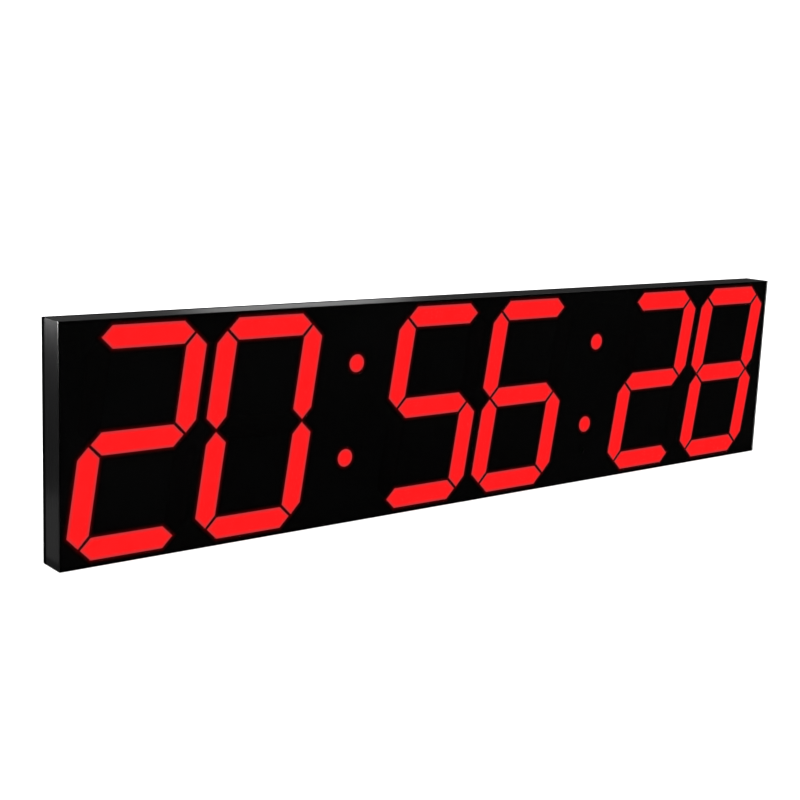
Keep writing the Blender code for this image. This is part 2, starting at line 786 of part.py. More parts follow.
def make_control_board():
    """The main board behind the right colon, with its processor, buzzer and clock battery."""
    outline = rectangle(CONTROL_X, CONTROL_Z)
    board = upright_sheet("control_board", [outline], CONTROL_BOARD, BOARD_GREEN)
    front = CONTROL_BOARD[0]
    first_z = 0.092
    pitch = 0.006
    parts = []
    for step in range(4):
        z = first_z + pitch * step
        parts.append(box_mesh((0.138, front - 0.0012, z), (0.142, front + OVERLAP, z + pitch / 2)))
    inductor_low = (0.104, front - 0.0020, 0.055)
    parts.append(box_mesh(inductor_low, (0.110, front + OVERLAP, 0.067)))
    add(board, parts, "small_parts")

    half = 0.006
    rise = 0.0014
    centre = (CONTROL_X[0] + CONTROL_X[1]) / 2
    low = (centre - half, front - GAP - rise, MID_Z - half)
    finish_object("processor", box_mesh(low, (centre + half, front - GAP, MID_Z + half)), BLACK_PLASTIC)

    tall = 0.0095
    radius = 0.006
    mouth_r = 0.0012
    mouth_depth = 0.002
    chamfer = 0.0004
    profile = [
        (0.0, tall - mouth_depth),
        (mouth_r, tall - mouth_depth),
        (mouth_r, tall),
        (radius - chamfer, tall),
        (radius, tall - chamfer),
        (radius, 0.0),
        (0.0, 0.0),
    ]
    place = Matrix.Translation((SOUND_X, front - GAP, BUZZER_Z)) @ Matrix.Rotation(math.radians(90), 4, "X")
    turned("buzzer", profile, BLACK_PLASTIC, place)
    make_clock_battery(centre, front - GAP)


def make_clock_battery(x, front):
    """Coin cell that keeps the time, in a holder on the main board."""
    z = 0.142
    cell_r = 0.010
    cell_height = 0.0032
    half = 0.0115
    floor = 0.0008
    deep = floor + cell_height + OVERLAP
    low = (x - half, front - deep, z - half)
    holder = finish_object("coin_cell_holder", box_mesh(low, (x + half, front, z + half)), BLACK_PLASTIC)
    well = rod_mesh(cell_r + GAP, (x, front - deep - CLEAR, z), (x, front - floor, z), 32)
    cut(holder, [well], "well")
    shoulder = (cell_r, 0.0026)
    profile = [(0.0, cell_height), (0.0086, cell_height), shoulder, (cell_r, 0.0), (0.0, 0.0)]
    place = Matrix.Translation((x, front - floor - GAP, z)) @ Matrix.Rotation(math.radians(90), 4, "X")
    turned("coin_cell", profile, ZINC, place, 32)


def make_ir_receiver():
    """Remote-control receiver on the right colon's board, behind its hole in the mask."""
    front = -0.0060
    back = -0.0022
    half = 0.0032
    mesh = box_mesh((IR_X - half, front, IR_Z - half), (IR_X + half, back, IR_Z + half))
    body = finish_object("ir_receiver", mesh, BLACK_PLASTIC)
    lens_r = 0.0024
    lens_rise = 0.0014
    lens = rod_mesh(lens_r, (IR_X, front - lens_rise, IR_Z), (IR_X, front + CLEAR, IR_Z), 16)
    add(body, [lens], "lens")
    leg_pitch = 0.002
    leg_half = 0.0003
    leg_end = LED_BOARD[0] - GAP
    legs = []
    for step in (-1, 0, 1):
        x = IR_X + leg_pitch * step
        low = (x - leg_half, back - OVERLAP, IR_Z - leg_half)
        legs.append(box_mesh(low, (x + leg_half, leg_end, IR_Z + leg_half)))
    add(body, legs, "legs")


def make_ribbon(name, route, z_range):
    """A flat ribbon cable standing on edge, bent along a route of (x, y) points."""
    bm = bmesh.new()
    rows = []
    for x, y in route:
        rows.append([bm.verts.new((x, y, z)) for z in z_range])
    for (a, b), (c, d) in zip(rows, rows[1:]):
        bm.faces.new((a, c, d, b))
    mesh = bpy.data.meshes.new(name)
    bm.to_mesh(mesh)
    bm.free()
    ribbon = finish_object(name, mesh, CABLE_GREY)
    solid = ribbon.modifiers.new("thickness", "SOLIDIFY")
    solid.thickness = RIBBON_THICK
    solid.offset = 0.0
    solid.use_even_offset = True


def make_ribbons():
    """Cables from the main board to the LED boards and the buttons' board."""
    board_back = LED_BOARD[1] + GAP + RIBBON_THICK / 2
    mid = (CONTROL_BOARD[0] + CONTROL_BOARD[1]) / 2
    span = (0.070, 0.082)
    bend_start = 0.006
    bend_end = 0.011
    for name, side, edge, end in (("right", 1, CONTROL_X[1], 0.190), ("middle", -1, CONTROL_X[0], 0.050)):
        start = edge + side * GAP
        bend = [(start + side * bend_start, mid), (start + side * bend_end, board_back)]
        make_ribbon(f"ribbon_{name}", [(start, mid)] + bend + [(end, board_back)], span)
    make_ribbon("ribbon_left", [(-0.050, board_back), (-0.190, board_back)], span)
    level = 0.0036
    start = BUTTON_XS[-1] + GUIDE_REACH + GAP
    make_ribbon("ribbon_buttons", [(start, level), (CONTROL_X[0] - GAP, level)], (0.0135, 0.0195))


make_front_panel()
make_segment_mask()
make_digits()
make_colons()
make_led_boards()
make_colon_boards()
make_frame()
make_brackets()
make_rear_cover()
make_screws()
make_buttons()
make_power_jack()
make_rocker_housing()
make_rocker_paddle()
make_control_board()
make_ir_receiver()
make_ribbons()
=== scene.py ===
"""Looks of the gym round timer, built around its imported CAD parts."""

import json
import math

import bmesh
import bpy
from mathutils import Matrix, Vector


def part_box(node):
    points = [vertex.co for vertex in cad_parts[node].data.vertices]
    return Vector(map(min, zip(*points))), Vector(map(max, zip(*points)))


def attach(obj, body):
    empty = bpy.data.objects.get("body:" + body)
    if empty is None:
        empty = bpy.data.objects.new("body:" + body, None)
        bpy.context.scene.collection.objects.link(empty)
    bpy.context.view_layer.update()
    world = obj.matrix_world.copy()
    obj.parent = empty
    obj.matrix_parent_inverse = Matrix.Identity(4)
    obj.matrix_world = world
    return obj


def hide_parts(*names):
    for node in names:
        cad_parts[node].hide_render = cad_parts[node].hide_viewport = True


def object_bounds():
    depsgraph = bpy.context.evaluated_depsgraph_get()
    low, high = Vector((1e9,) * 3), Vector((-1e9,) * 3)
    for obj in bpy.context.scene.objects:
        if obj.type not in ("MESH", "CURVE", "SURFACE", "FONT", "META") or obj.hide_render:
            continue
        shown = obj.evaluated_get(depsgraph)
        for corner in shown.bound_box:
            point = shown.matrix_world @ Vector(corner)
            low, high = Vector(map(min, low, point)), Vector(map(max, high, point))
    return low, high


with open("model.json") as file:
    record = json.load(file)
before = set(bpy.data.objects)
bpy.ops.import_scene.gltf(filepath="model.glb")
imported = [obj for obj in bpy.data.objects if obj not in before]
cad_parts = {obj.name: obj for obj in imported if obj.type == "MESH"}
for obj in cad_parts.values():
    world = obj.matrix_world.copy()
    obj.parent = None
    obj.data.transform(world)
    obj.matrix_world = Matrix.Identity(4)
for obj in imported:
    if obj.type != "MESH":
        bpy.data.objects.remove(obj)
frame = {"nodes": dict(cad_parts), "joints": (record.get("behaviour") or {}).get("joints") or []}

CAD_LOW, CAD_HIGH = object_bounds()
MM = 0.001
CORNERS = [(-1, -1), (1, -1), (1, 1), (-1, 1)]

# Digits, as in the CAD, placed by each diffuser's box
BLOCK_RIM = 0.8 * MM
BAR_THICK = 15.1 * MM
POST_WIDTH = 15.4 * MM
SLANT = 0.113
EDGE_LEAN = 0.152
NODE_X = 34.9 * MM
BAR_HALF = 33.5 * MM
BAR_STRAIGHT = 25.9 * MM
POST_TIP = 8.0 * MM
TIP_GAP = 0.95 * MM
PLATE_LOW, PLATE_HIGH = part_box("digit_diffuser_1")
ROW = (PLATE_HIGH.z - PLATE_LOW.z) / 2 - BLOCK_RIM - BAR_THICK / 2
DOT_R = 6.5 * MM
DOT_RISES = (37.3 * MM, -31.5 * MM)
LAND_DEPTH = 1.3 * MM
LAND_ROUND = 0.15 * MM
PALE_WIDTH = 2.4 * MM
PALE_STEPS = 6

# Rims of painted glow round the lit lands, in front of the mask and just behind the smoked sheet
LIT_RISE = 0.10 * MM
RIM_RISE = 0.08 * MM
RIM_SUNK = 0.02 * MM
RIM_REACH = 3.6 * MM
RIM_STEPS = 8

# Rounded edges
PLATE_ROUND = 0.1 * MM
SHEET_ROUND = 0.25 * MM
RAIL_ROUND = 0.35 * MM
COVER_ROUND = 0.2 * MM
BUTTON_ROUND = 0.25 * MM
SOFT_ANGLE = math.radians(40)
SMOOTH_ANGLE = math.radians(35)

# Matt black band along the rear edge of the frame's rails
REAR_EDGE_WIDTH = 4.5 * MM

# Cover screws. Recesses are (arm reach, arm width) and radii are shares of the head's radius.
SCREW_SIDES = 96
SCREW_TURN = math.radians(37)
RECESS_FLOOR = (0.44, 0.16)
RECESS_MOUTH = (0.62, 0.28)
RECESS_EDGE = (0.65, 0.31)
RECESS_DEPTH = 0.75 * MM
MOUTH_DEPTH = 0.05 * MM
HEAD_FLAT = 0.93
HEAD_ROUND = 0.08 * MM
HEAD_RIM = 0.16 * MM
HEAD_CONE = 0.85
SHANK_R = 0.5
TIP_R = 0.35
TIP_ROUND = 0.4 * MM

# Marks on the rocker, whose paddle is as in the CAD
PADDLE_HALF_L = 5.75 * MM
MARK_PLACE = 0.55
MARK_RISE = 0.03 * MM
MARK_SINK = 0.1 * MM
STROKE_HALF_W = 0.18 * MM
STROKE_HALF_H = 1.1 * MM
RING_OUTER = 1.05 * MM
RING_INNER = 0.72 * MM
MARK_SIDES = 32

# Pin of the power jack, as (radius, height above the base) up its side
PIN_R = 1.03 * MM
PIN_PROFILE = [(0.55 * MM, 3.75 * MM), (0.9 * MM, 3.9 * MM), (PIN_R, 4.2 * MM), (PIN_R, 10.7 * MM)]
PIN_SIDES = 32

# What each digit shows, as the letters of its lit segments
SEGMENTS = "abcdefg"
SHOWN = {
    "0": "abcdef",
    "2": "abged",
    "5": "afgcd",
    "6": "afgecd",
    "8": "abcdefg",
}
READING = "205628"

BODY = "case"


# ---------------------------------------------------------------- node helpers


def rgba(value):
    """A colour as it is given, or the grey of a number."""
    return value if isinstance(value, tuple) else (value, value, value, 1)


class Nodes:
    """Short ways to add and link shader nodes in one material."""

    def __init__(self, name):
        self.material = bpy.data.materials.new(name)
        self.material.use_nodes = True
        self.tree = self.material.node_tree
        self.shader = self.tree.nodes["Principled BSDF"]

    def add(self, kind, **settings):
        node = self.tree.nodes.new(kind)
        for key, value in settings.items():
            setattr(node, key, value)
        return node

    def link(self, source, target):
        self.tree.links.new(source, target)

    def set(self, **sockets):
        for key, value in sockets.items():
            self.shader.inputs[key.replace("_", " ")].default_value = value

    def coordinates(self, scale=(1, 1, 1)):
        """Object coordinates in metres, stretched by a scale for each axis."""
        place = self.add("ShaderNodeTexCoord")
        stretch = self.add("ShaderNodeMapping")
        stretch.inputs["Scale"].default_value = scale
        self.link(place.outputs["Object"], stretch.inputs["Vector"])
        return stretch.outputs["Vector"]

    def noise(self, scale, detail=3.0, rough=0.5, stretch=(1, 1, 1)):
        node = self.add("ShaderNodeTexNoise")
        node.inputs["Scale"].default_value = scale
        node.inputs["Detail"].default_value = detail
        node.inputs["Roughness"].default_value = rough
        self.link(self.coordinates(stretch), node.inputs["Vector"])
        return node.outputs["Fac"]

    def ramp(self, value, low, high, start=0.0, end=1.0):
        """Maps a value from start..end to low..high. Each of low and high is a colour or a number."""
        node = self.add("ShaderNodeValToRGB")
        first, last = node.color_ramp.elements
        first.position = start
        last.position = end
        first.color = rgba(low)
        last.color = rgba(high)
        self.link(value, node.inputs["Fac"])
        return node.outputs["Color"]

    def mix(self, factor, first, second):
        node = self.add("ShaderNodeMix", data_type="RGBA")
        for value, socket in ((factor, node.inputs[0]), (first, node.inputs[6]), (second, node.inputs[7])):
            if isinstance(value, bpy.types.NodeSocket):
                self.link(value, socket)
            else:
                socket.default_value = value
        return node.outputs[2]

    def math(self, operation, first, second):
        node = self.add("ShaderNodeMath", operation=operation)
        for value, socket in zip((first, second), node.inputs):
            if isinstance(value, bpy.types.NodeSocket):
                self.link(value, socket)
            else:
                socket.default_value = value
        return node.outputs[0]

    def edges(self, radius):
        """1 on a sharp edge, 0 on a flat face."""
        rounded = self.add("ShaderNodeBevel", samples=6)
        rounded.inputs["Radius"].default_value = radius
        flat = self.add("ShaderNodeNewGeometry")
        dot = self.add("ShaderNodeVectorMath", operation="DOT_PRODUCT")
        self.link(rounded.outputs["Normal"], dot.inputs[0])
        self.link(flat.outputs["Normal"], dot.inputs[1])
        return self.ramp(dot.outputs["Value"], 1.0, 0.0, 0.86, 0.995)

    def bump(self, height, strength, distance):
        node = self.add("ShaderNodeBump")
        node.inputs["Strength"].default_value = strength
        node.inputs["Distance"].default_value = distance
        self.link(height, node.inputs["Height"])
        self.link(node.outputs["Normal"], self.shader.inputs["Normal"])

    def colour(self, socket):
        self.link(socket, self.shader.inputs["Base Color"])

    def roughness(self, socket):
        self.link(socket, self.shader.inputs["Roughness"])


# ---------------------------------------------------------------- materials


def smoked_acrylic():
    """Polished, dark, see-through sheet, with the faint waviness and handling marks of acrylic."""
    n = Nodes("smoked_acrylic")
    n.set(Alpha=0.5, IOR=1.49, Specular_IOR_Level=0.02)
    marks = n.noise(9.0, 4.0, 0.6)
    n.colour(n.ramp(marks, 0.0004, (0.0009, 0.0008, 0.0008, 1), 0.35, 0.7))
    n.roughness(n.ramp(n.noise(140.0, 5.0, 0.65), 0.05, 0.11, 0.4, 0.75))
    n.bump(n.noise(22.0, 2.0, 0.4), 0.08, 0.0005)
    return n.material


def acrylic_edge():
    """The sheet's polished edge, which gathers a little light."""
    n = Nodes("acrylic_edge")
    n.set(IOR=1.49)
    n.colour(n.ramp(n.noise(260.0, 3.0), 0.003, 0.006, 0.35, 0.7))
    n.roughness(n.ramp(n.noise(600.0, 2.0), 0.30, 0.42, 0.3, 0.7))
    return n.material


def lit_red():
    """Milky red diffuser with its lamps on: nearly even, but dimmer and paler along its borders."""
    n = Nodes("lit_red")
    n.set(Roughness=0.45, Emission_Strength=4.2, Specular_IOR_Level=0.1)
    n.shader.inputs["Base Color"].default_value = (0.02, 0.0005, 0.0005, 1)
    cloud = n.noise(90.0, 2.0, 0.4)
    middle = n.ramp(cloud, (0.96, 0.0105, 0.0120, 1), (1.0, 0.0120, 0.0140, 1), 0.3, 0.7)
    core = n.add("ShaderNodeAttribute", attribute_name="core").outputs["Fac"]
    n.link(n.mix(core, (0.46, 0.038, 0.045, 1), middle), n.shader.inputs["Emission Color"])
    return n.material


def unlit_red_painted_shade():
    """The same diffuser with its lamps off. Its colour is painted nearly black, as painted shade for the
    dark behind the smoked sheet.
    """
    n = Nodes("unlit_red_painted_shade")
    cloud = n.noise(120.0, 3.0)
    # painted shade: the milky diffuser's colour is darkened to nearly black
    n.colour(n.ramp(cloud, (0.0030, 0.0006, 0.0006, 1), (0.0050, 0.0009, 0.0009, 1), 0.3, 0.7))
    n.roughness(n.ramp(n.noise(300.0, 2.0), 0.5, 0.65))
    return n.material


def painted_glow_rim():
    """The lit segments' rim, a painted glow: red emission on the mask stands in for light spilling round
    the lit lands. It fades outwards with the rim's own glow value.
    """
    n = Nodes("painted_glow_rim")
    n.set(Roughness=0.8, Emission_Strength=1.0, Specular_IOR_Level=0.1)
    cloud = n.noise(400.0, 3.0)
    n.colour(n.ramp(cloud, (0.0015, 0.0010, 0.0010, 1), (0.003, 0.0015, 0.0015, 1), 0.3, 0.7))
    glow = n.add("ShaderNodeAttribute", attribute_name="glow").outputs["Fac"]
    fade = n.math("POWER", glow, 3.0)
    # painted glow: red emission on the mask round each lit segment, though the mask is no lamp
    n.link(n.mix(fade, (0, 0, 0, 1), (0.36, 0.001, 0.002, 1)), n.shader.inputs["Emission Color"])
    return n.material


def rear_edge_black():
    """Matt black band round the rear edge of the frame, with a little dust in its grain."""
    n = Nodes("rear_edge_black")
    n.set(Specular_IOR_Level=0.0)
    n.colour(n.ramp(n.noise(500.0, 4.0, 0.6), 0.0008, 0.002, 0.35, 0.7))
    n.roughness(n.ramp(n.noise(900.0, 2.0), 0.75, 0.95))
    n.bump(n.noise(1600.0, 2.0), 0.2, 0.0001)
    return n.material


def mask_black():
    """Matt black screen print round the segments."""
    n = Nodes("mask_black")
    n.colour(n.ramp(n.noise(400.0, 3.0), 0.0015, 0.003, 0.3, 0.7))
    n.roughness(n.ramp(n.noise(900.0, 2.0), 0.75, 0.9))
    return n.material


def anodised(name, along, gloss):
    """Black anodised aluminium, with fine draw lines along the rail and bare metal at worn edges."""
    n = Nodes(name)
    n.set(Specular_IOR_Level=0.5)
    stretch = (4, 260, 260) if along == "x" else (260, 260, 4)
    lines = n.noise(7.0, 6.0, 0.7, stretch)
    cloud = n.noise(11.0, 3.0, 0.55)
    tone = n.ramp(cloud, (0.0018, 0.0018, 0.0019, 1), (0.0045, 0.0045, 0.0048, 1), 0.3, 0.7)
    tone = n.mix(n.ramp(lines, 0.0, 0.5, 0.3, 0.8), tone, (0.009, 0.009, 0.0095, 1))
    wear = n.math("MULTIPLY", n.edges(0.0005), n.ramp(n.noise(130.0, 5.0, 0.7), 0.0, 1.0, 0.52, 0.70))
    tone = n.mix(n.math("MULTIPLY", wear, 0.45), tone, (0.22, 0.22, 0.23, 1))
    n.colour(tone)
    n.link(n.ramp(wear, 0.35, 0.9), n.shader.inputs["Metallic"])
    n.roughness(n.ramp(lines, gloss - 0.06, gloss + 0.08, 0.25, 0.75))
    n.bump(lines, 0.12, 0.00004)
    return n.material


def powder_coat():
    """Fine orange-peel black paint on the sheet-metal cover, worn at its edges and round its holes."""
    n = Nodes("powder_coat")
    grain = n.noise(1250.0, 2.0, 0.45)
    cloud = n.noise(10.0, 4.0, 0.6)
    tone = n.ramp(cloud, (0.011, 0.011, 0.012, 1), (0.020, 0.020, 0.021, 1), 0.3, 0.7)
    tone = n.mix(n.ramp(grain, 0.0, 0.35, 0.45, 0.75), tone, (0.045, 0.045, 0.047, 1))
    wear = n.math("MULTIPLY", n.edges(0.0005), n.ramp(n.noise(220.0, 5.0, 0.7), 0.0, 1.0, 0.5, 0.68))
    n.colour(n.mix(n.math("MULTIPLY", wear, 0.7), tone, (0.33, 0.33, 0.34, 1)))
    n.link(n.ramp(wear, 0.0, 0.9), n.shader.inputs["Metallic"])
    n.roughness(n.ramp(cloud, 0.42, 0.56, 0.3, 0.7))
    n.bump(grain, 0.7, 0.0004)
    return n.material


def zinc():
    """Bright zinc plate with a faint mottle."""
    n = Nodes("zinc_plate")
    n.set(Metallic=1.0)
    n.colour(n.ramp(n.noise(420.0, 4.0, 0.6), (0.42, 0.43, 0.45, 1), (0.62, 0.63, 0.64, 1), 0.3, 0.7))
    n.roughness(n.ramp(n.noise(900.0, 3.0), 0.34, 0.52, 0.3, 0.7))
    n.bump(n.noise(1800.0, 2.0), 0.1, 0.0001)
    return n.material


def white_moulding():
    """White moulded plastic with a fine texture, as inside the reflectors."""
    n = Nodes("white_moulding")
    n.colour(n.ramp(n.noise(60.0, 3.0), (0.70, 0.70, 0.68, 1), (0.80, 0.80, 0.78, 1), 0.3, 0.7))
    n.roughness(n.ramp(n.noise(700.0, 2.0), 0.5, 0.65))
    n.bump(n.noise(1400.0, 2.0), 0.15, 0.0001)
    return n.material


def mark_white():
    """Dull white paint in the switch's marks."""
    n = Nodes("mark_white")
    n.colour(n.ramp(n.noise(900.0, 4.0, 0.6), (0.45, 0.45, 0.44, 1), (0.72, 0.72, 0.70, 1), 0.3, 0.65))
    n.roughness(n.ramp(n.noise(1500.0, 2.0), 0.5, 0.7))
    n.bump(n.noise(2500.0, 2.0), 0.2, 0.00005)
    return n.material


def circuit_board():
    """Green solder mask over fine copper runs."""
    n = Nodes("circuit_board")
    tracks = n.add("ShaderNodeTexBrick")
    tracks.inputs["Scale"].default_value = 160.0
    tracks.inputs["Mortar Size"].default_value = 0.09
    tracks.inputs["Color1"].default_value = (0.006, 0.060, 0.020, 1)
    tracks.inputs["Color2"].default_value = (0.008, 0.072, 0.026, 1)
    tracks.inputs["Mortar"].default_value = (0.016, 0.120, 0.045, 1)
    turn = n.add("ShaderNodeMapping")
    turn.inputs["Rotation"].default_value = (math.pi / 2, 0, 0)
    n.link(n.add("ShaderNodeTexCoord").outputs["Object"], turn.inputs["Vector"])
    n.link(turn.outputs["Vector"], tracks.inputs["Vector"])
    n.colour(tracks.outputs["Color"])
    n.roughness(n.ramp(n.noise(300.0, 3.0), 0.28, 0.42))
    n.bump(tracks.outputs["Fac"], 0.2, 0.00004)
    return n.material


def moulded_black(name, rough=0.5):
    """Black moulded plastic with a fine spark-eroded texture and paler worn edges."""
    n = Nodes(name)
    fine = n.noise(1300.0, 2.0, 0.5)
    cloud = n.noise(70.0, 3.0)
    tone = n.ramp(cloud, (0.010, 0.010, 0.0105, 1), (0.018, 0.018, 0.019, 1), 0.3, 0.7)
    edge = n.edges(0.0003)
    n.colour(n.mix(n.math("MULTIPLY", edge, 0.4), tone, (0.05, 0.05, 0.052, 1)))
    n.roughness(n.ramp(fine, rough - 0.08, rough + 0.08, 0.3, 0.7))
    n.bump(fine, 0.25, 0.0001)
    return n.material


def cable_grey():
    """Flat ribbon cable: a row of round conductors in grey skin, with painted shade in the grooves between
    them.
    """
    n = Nodes("cable_grey")
    wave = n.add("ShaderNodeTexWave", wave_type="BANDS", bands_direction="Z")
    wave.inputs["Scale"].default_value = 250.0
    n.link(n.coordinates(), wave.inputs["Vector"])
    # painted shade: the skin is darker where the bands' bump is low, in the grooves
    n.colour(n.ramp(wave.outputs["Fac"], (0.16, 0.16, 0.165, 1), (0.34, 0.34, 0.35, 1), 0.1, 0.6))
    n.roughness(n.ramp(n.noise(300.0), 0.45, 0.6))
    n.bump(wave.outputs["Fac"], 0.6, 0.0003)
    return n.material


# ---------------------------------------------------------------- mesh helpers


def new_piece(name, bm, materials, body=BODY, smooth=True):
    """Makes an object from a bmesh and lets it ride on a body."""
    bmesh.ops.recalc_face_normals(bm, faces=bm.faces)
    mesh = bpy.data.meshes.new(name)
    bm.to_mesh(mesh)
    bm.free()
    for material in materials:
        mesh.materials.append(material)
    if smooth:
        mesh.shade_smooth()
        mesh.set_sharp_from_angle(angle=SMOOTH_ANGLE)
    piece = bpy.data.objects.new(name, mesh)
    bpy.context.scene.collection.objects.link(piece)
    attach(piece, body)
    return piece


def ring(bm, outline, y):
    """A closed loop of vertices at one depth, from an (x, z) outline."""
    return [bm.verts.new((x, y, z)) for x, z in outline]


def band(bm, inner, outer):
    """Faces between two loops with the same count."""
    for k in range(len(inner)):
        bm.faces.new((inner[k - 1], inner[k], outer[k], outer[k - 1]))


def prism(bm, outline, front, rear, bevel=0.0):
    """An upright block behind an (x, z) outline. A bevel rounds its front edge."""
    front_ring, rear_ring = ring(bm, outline, front), ring(bm, outline, rear)
    front_face = bm.faces.new(front_ring)
    bm.faces.new(reversed(rear_ring))
    band(bm, front_ring, rear_ring)
    if bevel:
        bmesh.ops.bevel(
            bm,
            geom=front_face.edges[:],
            offset=bevel,
            segments=3,
            profile=0.5,
            affect="EDGES",
            clamp_overlap=True,
        )


def box_piece(bm, low, high, bevel):
    """A box with rounded edges, alone in its bmesh."""
    made = bmesh.ops.create_cube(bm, size=1.0)
    size = Vector(high) - Vector(low)
    centre = (Vector(high) + Vector(low)) / 2
    place = Matrix.Translation(centre) @ Matrix.Diagonal((*size, 1.0))
    bmesh.ops.transform(bm, matrix=place, verts=made["verts"])
    bmesh.ops.bevel(bm, geom=bm.edges[:], offset=bevel, segments=3, profile=0.5, affect="EDGES")


def soften(width, *objects):
    """Rounds the sharp edges of whole objects."""
    for piece in objects:
        bevel = piece.modifiers.new("soft_edges", "BEVEL")
        bevel.width = width
        bevel.segments = 2
        bevel.limit_method = "ANGLE"
        bevel.angle_limit = SOFT_ANGLE


# ---------------------------------------------------------------- digits


def bar(row):
    """Outline of a level segment at a row's height, about the digit's centre."""
    x = SLANT * row
    half = BAR_THICK / 2
    return [
        (x - BAR_HALF, row),
        (x - BAR_STRAIGHT, row - half),
        (x + BAR_STRAIGHT, row - half),
        (x + BAR_HALF, row),
        (x + BAR_STRAIGHT, row + half),
        (x - BAR_STRAIGHT, row + half),
    ]


def post(side, low, high):
    """Outline of an upright segment between two rows, on the left (-1) or right (1)."""
    bottom = low + TIP_GAP
    top = high - TIP_GAP
    middle = (bottom + top) / 2
    x = side * NODE_X + SLANT * middle
    half = POST_WIDTH / 2
    shoulder = (top - bottom) / 2 - POST_TIP
    lean = EDGE_LEAN * shoulder
    return [
        (side * NODE_X + SLANT * bottom, bottom),
        (x + half - lean, middle - shoulder),
        (x + half + lean, middle + shoulder),
        (side * NODE_X + SLANT * top, top),
        (x - half + lean, middle + shoulder),
        (x - half - lean, middle - shoulder),
    ]


def segments():
    """The outline of each segment, by its letter."""
    outlines = [
        bar(ROW),
        post(1, 0, ROW),
        post(1, -ROW, 0),
        bar(-ROW),
        post(-1, -ROW, 0),
        post(-1, 0, ROW),
        bar(0),
    ]
    return dict(zip(SEGMENTS, outlines))


def moved(outline, x, z):
    return [(x + u, z + v) for u, v in outline]


def scaled(outline, factor):
    return [(factor * u, factor * v) for u, v in outline]


def grown(points, margin):
    """A convex outline moved out by a margin on every side, or in where it is negative."""
    count = len(points)
    area = sum(points[k - 1][0] * points[k][1] - points[k][0] * points[k - 1][1] for k in range(count))
    side = margin * math.copysign(1, area)
    result = []
    for k in range(count):
        here = Vector(points[k])
        before = (here - Vector(points[k - 1])).normalized()
        after = (Vector(points[(k + 1) % count]) - here).normalized()
        normal_before = Vector((before.y, -before.x))
        normal_after = Vector((after.y, -after.x))
        mitre = (normal_before + normal_after).normalized()
        result.append(tuple(here + mitre * side / mitre.dot(normal_after)))
    return result


def circle(x, z, radius, count=48):
    turns = [2 * math.pi * step / count for step in range(count)]
    return [(x + radius * math.cos(turn), z + radius * math.sin(turn)) for turn in turns]


def land(bm, outline, front, rear, core):
    """A raised, lit land. Its core value climbs from 0 at the border to 1 over the pale margin."""
    levels = [(0.0, rear), (0.0, front + LAND_ROUND)]
    levels += [(max(LAND_ROUND, PALE_WIDTH * step / PALE_STEPS), front) for step in range(PALE_STEPS + 1)]
    rings = []
    for inset, y in levels:
        rings.append(ring(bm, grown(outline, -inset), y))
        for vertex in rings[-1]:
            vertex[core] = min(1.0, inset / PALE_WIDTH)
    for outer, inner in zip(rings, rings[1:]):
        band(bm, outer, inner)
    bm.faces.new(rings[0])
    bm.faces.new(rings[-1])


def rim(bm, outline, base, glow):
    """A shallow sloping rim round a lit land, carrying the painted glow. Its glow falls from 1 at the land
    to 0 outside.
    """
    rings = []
    for step in range(RIM_STEPS + 1):
        share = step / RIM_STEPS
        y = base - RIM_RISE * (1 - share)
        rings.append(ring(bm, grown(outline, share * RIM_REACH), y))
        for vertex in rings[-1]:
            vertex[glow] = 1 - share
    rings.append(ring(bm, grown(outline, RIM_REACH), base + RIM_SUNK))
    rings.append(ring(bm, outline, base + RIM_SUNK))
    for inner, outer in zip(rings, rings[1:] + rings[:1]):
        band(bm, inner, outer)


def leaning_block(low, high):
    """The outline of a digit's plate, which leans as its digit does, in its box from low to high."""
    x, z = (low.x + high.x) / 2, (low.z + high.z) / 2
    half_h = (high.z - low.z) / 2
    lean = SLANT * half_h
    half_w = (high.x - low.x) / 2 - lean
    return [(x + i * half_w + j * lean, z + j * half_h) for i, j in CORNERS]


def make_digits(looks):
    """Each digit's diffuser, as its lit lands and its plate with the unlit lands."""
    for number, shown in enumerate(READING, start=1):
        node = f"digit_diffuser_{number}"
        low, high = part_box(node)
        x, z = (low.x + high.x) / 2, (low.z + high.z) / 2
        plate_front = low.y + LAND_DEPTH
        lit = bmesh.new()
        core = lit.verts.layers.float.new("core")
        dark = bmesh.new()
        rims = bmesh.new()
        glow = rims.verts.layers.float.new("glow")
        for letter, outline in segments().items():
            outline = moved(outline, x, z)
            if letter in SHOWN[shown]:
                land(lit, outline, low.y - LIT_RISE, plate_front, core)
                rim(rims, outline, low.y, glow)
            else:
                prism(dark, outline, low.y, plate_front, LAND_ROUND)
        prism(dark, leaning_block(low, high), plate_front, high.y)
        piece = new_piece(f"digit_{number}_lit", lit, [looks["lit"]])
        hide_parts(node)
        new_piece(f"digit_{number}_unlit", dark, [looks["unlit"]])
        new_piece(f"digit_{number}_rims", rims, [looks["rim"]], smooth=False)


def make_colons(looks):
    """The two lit dots of each colon, on their plate."""
    for name in ("left", "right"):
        node = f"colon_diffuser_{name}"
        low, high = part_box(node)
        x = (low.x + high.x) / 2
        z = (low.z + high.z) / 2 - sum(DOT_RISES) / 2
        plate_front = low.y + LAND_DEPTH
        lit = bmesh.new()
        core = lit.verts.layers.float.new("core")
        rims = bmesh.new()
        glow = rims.verts.layers.float.new("glow")
        for rise in DOT_RISES:
            dot = circle(x + SLANT * rise, z + rise, DOT_R)
            land(lit, dot, low.y - LIT_RISE, plate_front, core)
            rim(rims, dot, low.y, glow)
        piece = new_piece(f"colon_{name}_lit", lit, [looks["lit"]])
        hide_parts(node)
        plate = bmesh.new()
        box_piece(plate, (low.x, plate_front, low.z), high, PLATE_ROUND)
        new_piece(f"colon_{name}_unlit", plate, [looks["unlit"]])
        new_piece(f"colon_{name}_rims", rims, [looks["rim"]], smooth=False)


